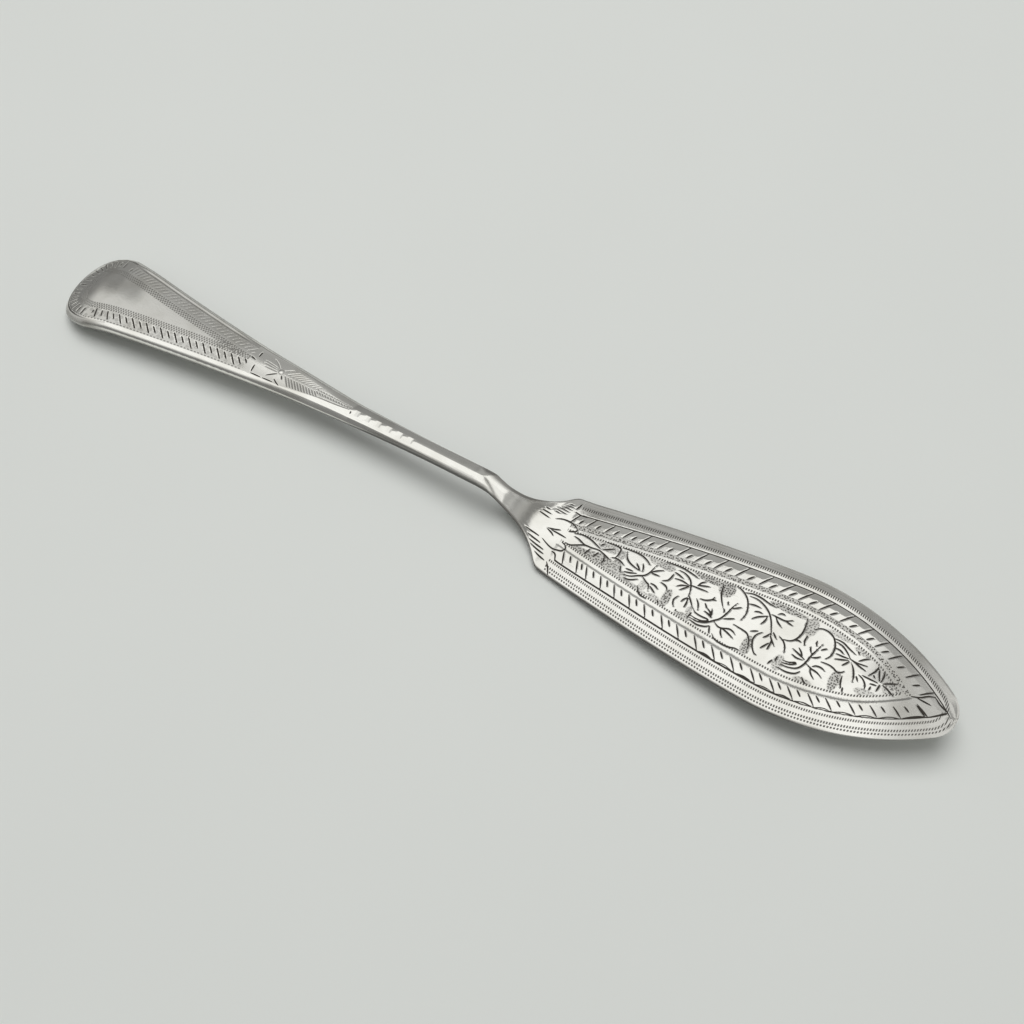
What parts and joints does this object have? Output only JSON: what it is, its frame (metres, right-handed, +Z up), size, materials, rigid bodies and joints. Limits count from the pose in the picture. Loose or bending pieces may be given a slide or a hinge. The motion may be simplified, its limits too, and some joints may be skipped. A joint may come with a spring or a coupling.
{
  "type": "butter knife",
  "caption": "Slim engraved silver butter knife with a leaf-shaped blade, a dropped neck and an arched handle widening to a rounded end; for taking and spreading butter",
  "frame": {"origin": "on the table, under the middle of the knife's length and width", "axes": "+X from the handle end to the blade's tip, +Y across the knife, +Z up"},
  "size_m": [0.1986, 0.0288, 0.0087],
  "materials": {
    "blade_silver": "polished silver, worn, with bright-cut engraving on the upper face",
    "handle_silver": "polished silver, worn, with bright-cut engraving on the upper face",
    "solder_silver": "silver solder, filed flush and slightly duller than the silver"
  },
  "bodies": {
    "root": {"blade": "blade_silver", "handle": "handle_silver", "solder_seam": "solder_silver"}
  },
  "joints": []
}
